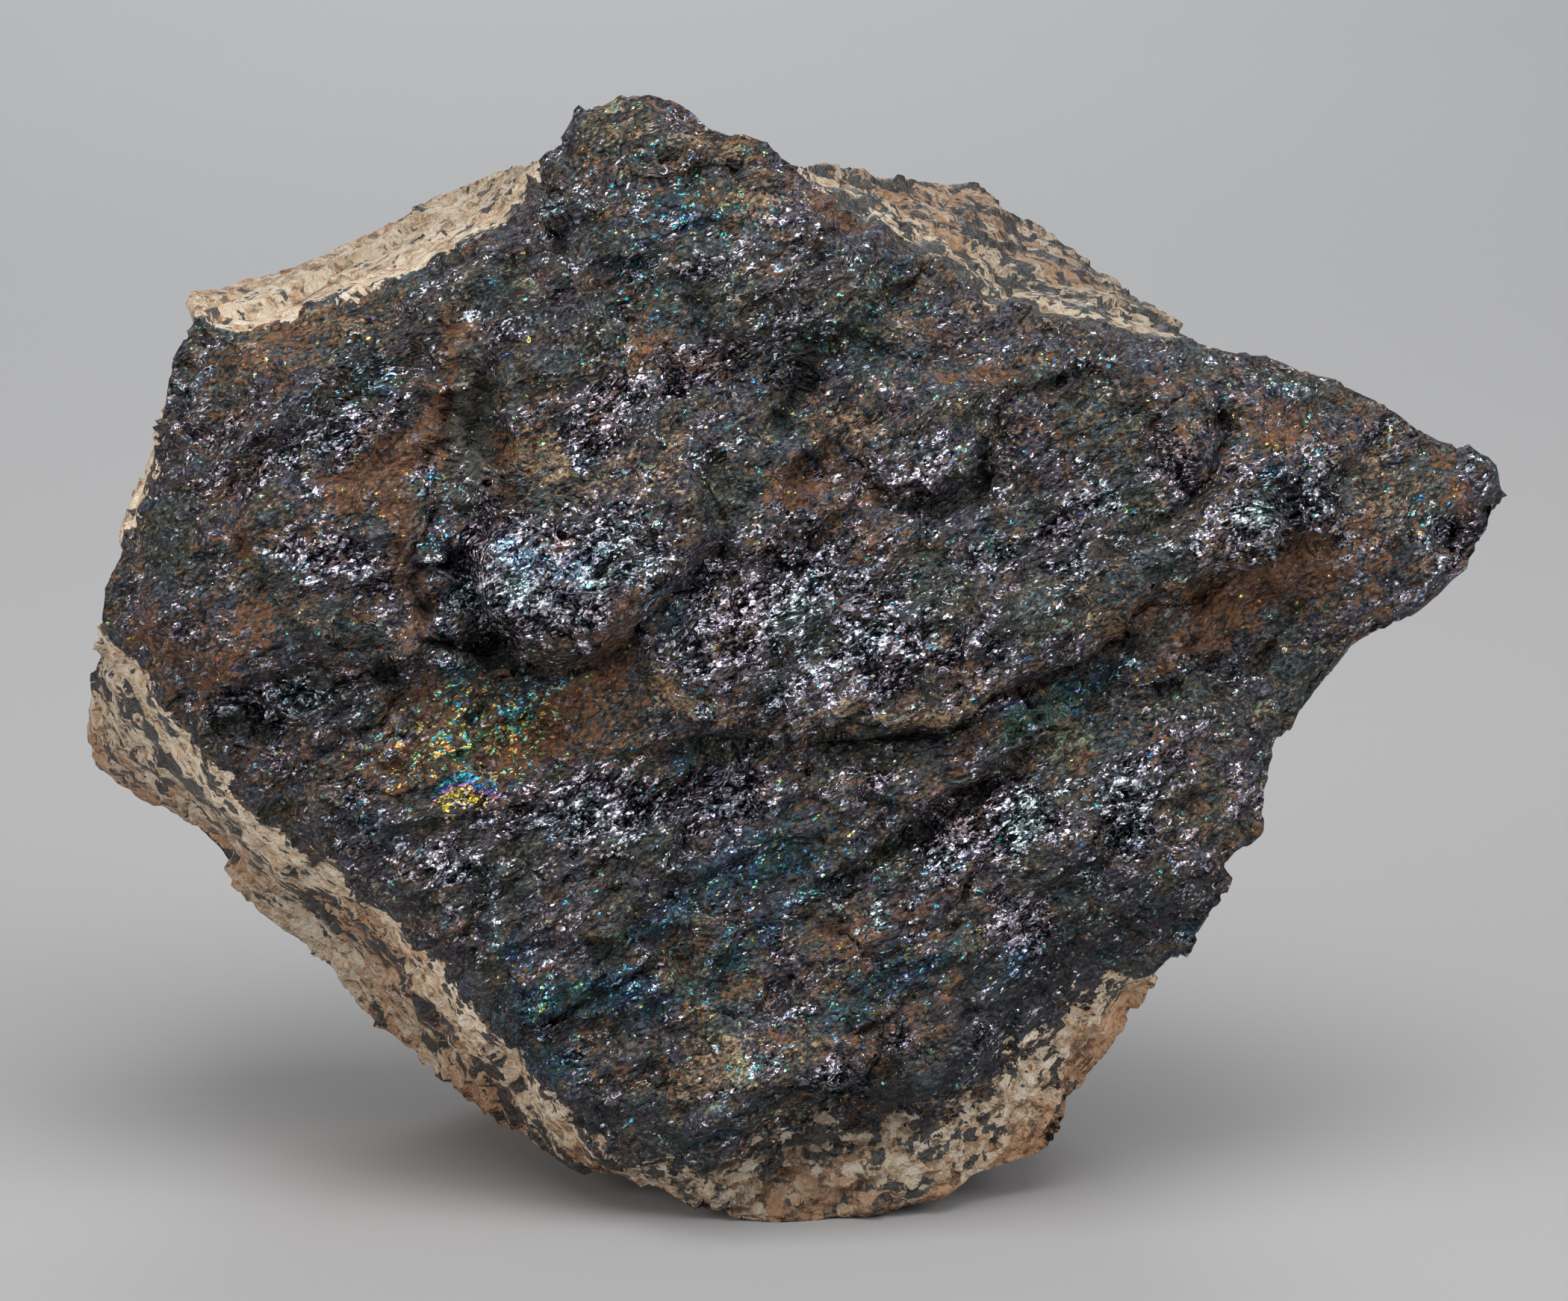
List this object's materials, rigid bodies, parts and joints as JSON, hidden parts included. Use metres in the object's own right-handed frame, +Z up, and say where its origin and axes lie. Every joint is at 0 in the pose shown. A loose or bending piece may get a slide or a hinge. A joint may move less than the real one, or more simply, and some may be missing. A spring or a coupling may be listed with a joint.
{
  "type": "peacock ore specimen",
  "caption": "Leaning slab of tarnished bornite on banded gneiss: a hackly dark face, a pale flared rim and back, and a small flat spot to stand on",
  "frame": {"origin": "the middle of the small flat spot under the foot, on which the stone rests", "axes": "+Z up from the flat spot, +X along the length of the slab to the right of the ore face, +Y from the ore face to the back, through the thickness"},
  "size_m": [0.1675, 0.0733, 0.1258],
  "materials": {
    "stone": "tarnished metallic ore over pale banded gneiss"
  },
  "bodies": {
    "root": {"peacock_ore": "stone"}
  },
  "joints": []
}
